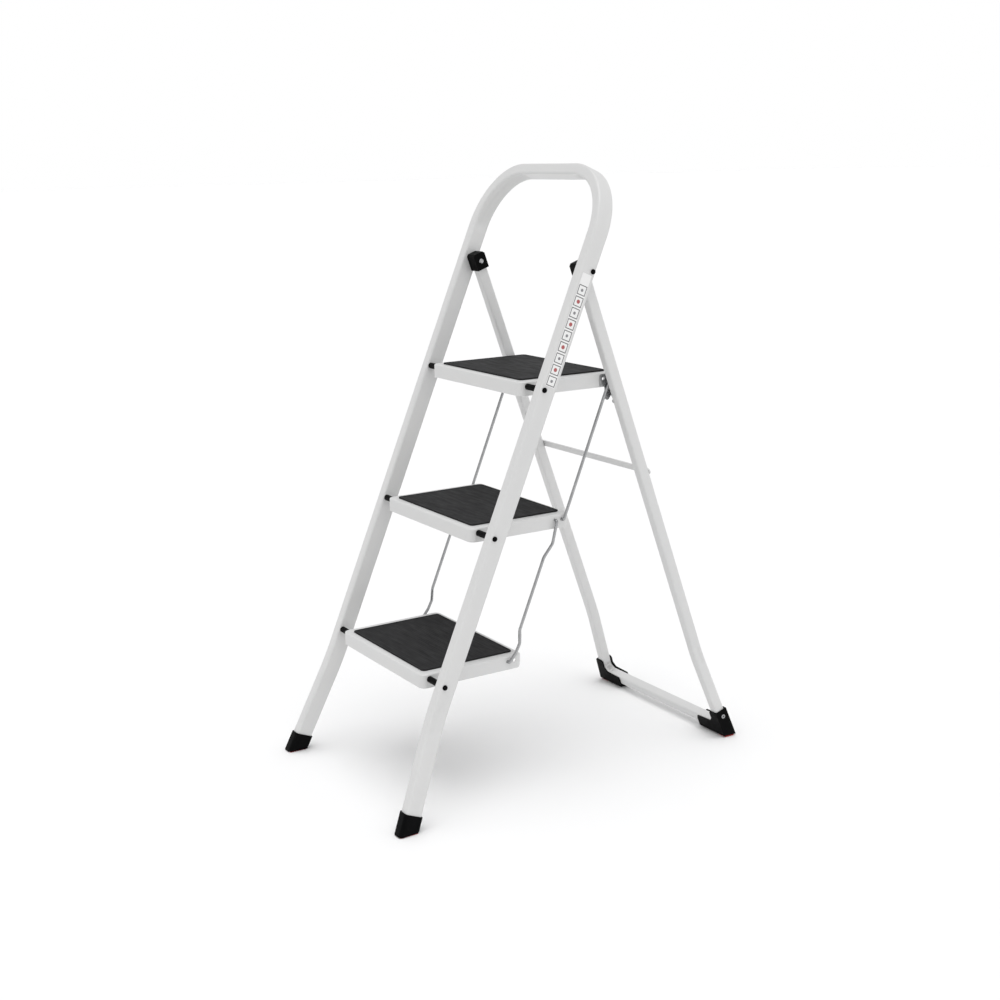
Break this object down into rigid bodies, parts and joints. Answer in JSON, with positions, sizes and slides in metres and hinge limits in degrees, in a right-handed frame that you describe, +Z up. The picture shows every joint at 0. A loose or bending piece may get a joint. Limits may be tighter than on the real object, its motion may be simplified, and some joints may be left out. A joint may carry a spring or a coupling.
{
  "type": "folding step ladder",
  "caption": "Folding step ladder: a hooped front tube frame with hinged treads on tie rods, and a hinged rear U frame that folds against it.",
  "frame": {"origin": "on the floor, at the middle of the footprint's bounding box, with the ladder open", "axes": "+X to the climber's right, -Y the climbing side, +Y the side of the rear frame, +Z up"},
  "size_m": [0.465, 0.749, 1.0782],
  "materials": {
    "white_paint": "glossy powder coat on steel tube and sheet",
    "black_plastic": "moulded, satin",
    "mat_rubber": "fine grained non-slip mat",
    "sole_rubber": "matt",
    "zinc_steel": "bright zinc plated wire and rivets",
    "label": "printed film"
  },
  "bodies": {
    "front_frame": {"front_frame_tube": "white_paint", "front_foot_left": "black_plastic", "front_foot_right": "black_plastic", "front_sole_left": "sole_rubber", "front_sole_right": "sole_rubber", "pivot_rod_top": "zinc_steel", "spacer_top_left": "black_plastic", "spacer_top_right": "black_plastic", "rod_cap_top_left": "black_plastic", "rod_cap_top_right": "black_plastic", "pivot_rod_middle": "zinc_steel", "spacer_middle_left": "black_plastic", "spacer_middle_right": "black_plastic", "rod_cap_middle_left": "black_plastic", "rod_cap_middle_right": "black_plastic", "pivot_rod_bottom": "zinc_steel", "spacer_bottom_left": "black_plastic", "spacer_bottom_right": "black_plastic", "rod_cap_bottom_left": "black_plastic", "rod_cap_bottom_right": "black_plastic", "hinge_bolt_left": "zinc_steel", "hinge_bolt_right": "zinc_steel", "hinge_cap_left": "black_plastic", "hinge_cap_right": "black_plastic", "label_strip": "label"},
    "rear_frame": {"rear_frame_tube": "white_paint", "rear_brace": "white_paint", "rear_leg_cap_left": "black_plastic", "rear_leg_cap_right": "black_plastic", "brace_rivet_left": "zinc_steel", "brace_rivet_right": "zinc_steel", "support_pin_left": "zinc_steel", "support_pin_right": "zinc_steel", "rear_foot_left": "black_plastic", "rear_foot_right": "black_plastic", "rear_sole_left": "sole_rubber", "rear_sole_right": "sole_rubber", "rear_foot_rivet_left": "zinc_steel", "rear_foot_rivet_right": "zinc_steel"},
    "top_step": {"top_step_tray": "white_paint", "top_step_mat": "mat_rubber", "top_step_hook_left": "zinc_steel", "top_step_hook_right": "zinc_steel"},
    "middle_step": {"middle_step_tray": "white_paint", "middle_step_mat": "mat_rubber"},
    "bottom_step": {"bottom_step_tray": "white_paint", "bottom_step_mat": "mat_rubber"},
    "upper_tie_rods": {"upper_tie_rod_left": "zinc_steel", "upper_tie_rod_right": "zinc_steel"},
    "lower_tie_rods": {"lower_tie_rod_left": "zinc_steel", "lower_tie_rod_right": "zinc_steel"}
  },
  "joints": [
    {"name": "rear_frame_fold", "type": "hinge", "parent": "front_frame", "child": "rear_frame", "pos_m": [0, 0.04199, 0.90212], "axis": [-1, 0, 0], "range_deg": [0, 41.2]},
    {"name": "top_step_fold", "type": "hinge", "parent": "front_frame", "child": "top_step", "pos_m": [0, -0.05819, 0.7122], "axis": [1, 0, 0], "range_deg": [0, 63.5]},
    {"name": "middle_step_fold", "type": "hinge", "parent": "front_frame", "child": "middle_step", "pos_m": [0, -0.1614, 0.4722], "axis": [1, 0, 0], "range_deg": [0, 63.5]},
    {"name": "bottom_step_fold", "type": "hinge", "parent": "front_frame", "child": "bottom_step", "pos_m": [0, -0.26461, 0.2322], "axis": [1, 0, 0], "range_deg": [0, 63.5]},
    {"name": "upper_tie_swing", "type": "hinge", "parent": "top_step", "child": "upper_tie_rods", "pos_m": [0, 0.11281, 0.7112], "axis": [1, 0, 0], "range_deg": [-63.5, 0]},
    {"name": "lower_tie_swing", "type": "hinge", "parent": "middle_step", "child": "lower_tie_rods", "pos_m": [0, -0.0044, 0.4712], "axis": [1, 0, 0], "range_deg": [-63.5, 0]}
  ],
  "couplings": [
    {"joint": "top_step_fold", "follows": "rear_frame_fold", "ratio": 1.54},
    {"joint": "middle_step_fold", "follows": "rear_frame_fold", "ratio": 1.54},
    {"joint": "bottom_step_fold", "follows": "rear_frame_fold", "ratio": 1.54},
    {"joint": "upper_tie_swing", "follows": "rear_frame_fold", "ratio": -1.54},
    {"joint": "lower_tie_swing", "follows": "rear_frame_fold", "ratio": -1.54}
  ]
}
